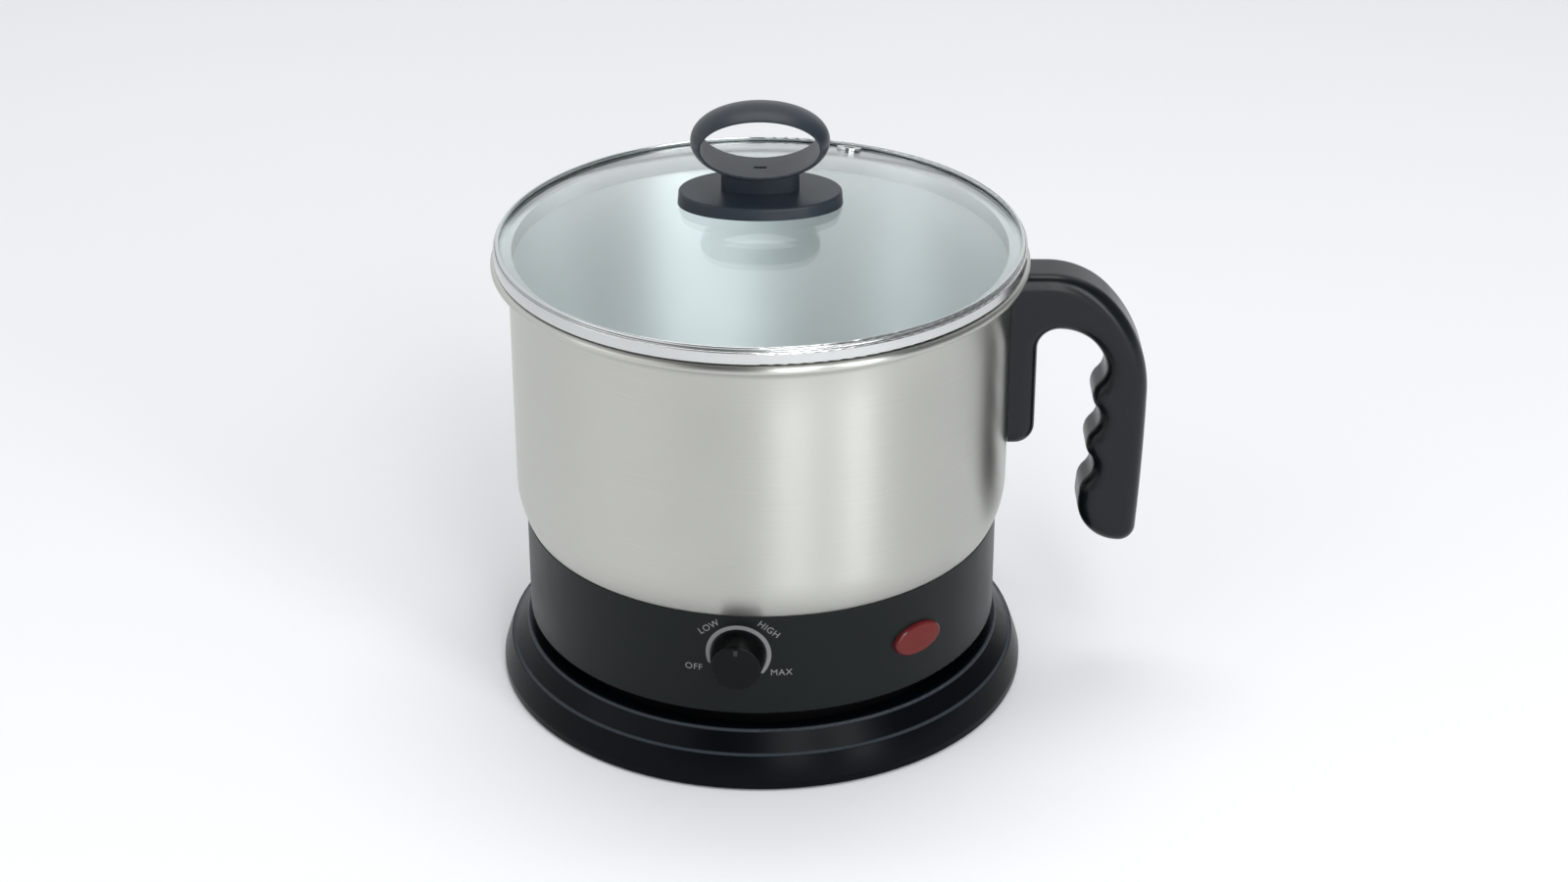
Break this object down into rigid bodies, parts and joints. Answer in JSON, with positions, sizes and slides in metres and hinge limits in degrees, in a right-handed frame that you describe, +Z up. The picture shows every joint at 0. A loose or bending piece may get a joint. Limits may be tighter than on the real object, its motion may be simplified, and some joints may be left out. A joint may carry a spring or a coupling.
{
  "type": "electric hot pot",
  "caption": "Round steel electric hot pot with a hook handle, a turning heat dial, a red lamp and a lift-off glass lid, standing on a round plug-in power base.",
  "frame": {"origin": "on the pot's axis, at the table surface under the four feet", "axes": "+Z up; +X towards the handle; -Y is the front, where the dial and the lamp are"},
  "size_m": [0.213, 0.1772, 0.1987],
  "materials": {
    "stainless": "brushed",
    "polished_steel": "polished",
    "housing_black": "satin",
    "base_black": "satin",
    "handle_black": "satin",
    "dial_black": "satin",
    "knob_slate": "satin",
    "lens_red": "glossy",
    "clear_glass": "clear",
    "neon_glass": "clear",
    "silicone": "matt",
    "foot_rubber": "matt",
    "gland_black": "matt",
    "phenolic": "matt",
    "aluminium": "milled",
    "zinc_steel": "zinc plated",
    "element_steel": "satin",
    "contact_brass": "bright",
    "lead_sleeve": "matt"
  },
  "bodies": {
    "power_base": {"base_shell": "base_black", "base_cover": "base_black", "base_feet": "foot_rubber", "base_screws": "zinc_steel", "cord_gland": "gland_black", "connector_tower": "base_black", "tower_earth_sleeve": "contact_brass", "tower_contacts": "contact_brass"},
    "pot": {"pot_shell": "stainless", "housing": "housing_black", "pot_cover": "housing_black", "pot_cover_screws": "zinc_steel", "fixing_posts": "zinc_steel", "pot_seal": "silicone", "pot_socket": "housing_black", "socket_rings": "contact_brass", "socket_earth_pin": "contact_brass", "heater_plate": "aluminium", "heater_element": "element_steel", "heater_terminals": "zinc_steel", "boil_dry_cutout": "zinc_steel", "cutout_strap": "zinc_steel", "thermal_fuse": "phenolic", "thermostat_plate": "zinc_steel", "thermostat_body": "phenolic", "thermostat_tabs": "contact_brass", "thermostat_screws": "zinc_steel", "pot_leads": "lead_sleeve", "lamp_leads": "lead_sleeve", "lamp_lens": "lens_red", "lamp_box": "housing_black", "neon_lamp": "neon_glass", "handle": "handle_black", "handle_bracket": "zinc_steel", "handle_screws": "zinc_steel"},
    "dial": {"dial_knob": "dial_black", "thermostat_shaft": "zinc_steel"},
    "lid": {"lid_glass": "clear_glass", "lid_band": "polished_steel", "vent_eyelet": "polished_steel", "knob_plate": "knob_slate", "knob_ring": "knob_slate", "knob_gasket": "silicone", "knob_washer": "polished_steel", "knob_screw": "polished_steel"}
  },
  "joints": [
    {"name": "pot_lift", "type": "slide", "parent": "power_base", "child": "pot", "axis": [0, 0, 1], "range_m": [0, 0.08]},
    {"name": "dial_turn", "type": "hinge", "parent": "pot", "child": "dial", "pos_m": [-0.00676, -0.0773, 0.0449], "axis": [-0.0872, -0.9962, 0], "range_deg": [-117, 117]},
    {"name": "lid_lift", "type": "slide", "parent": "pot", "child": "lid", "axis": [0, 0, 1], "range_m": [0, 0.08]}
  ]
}
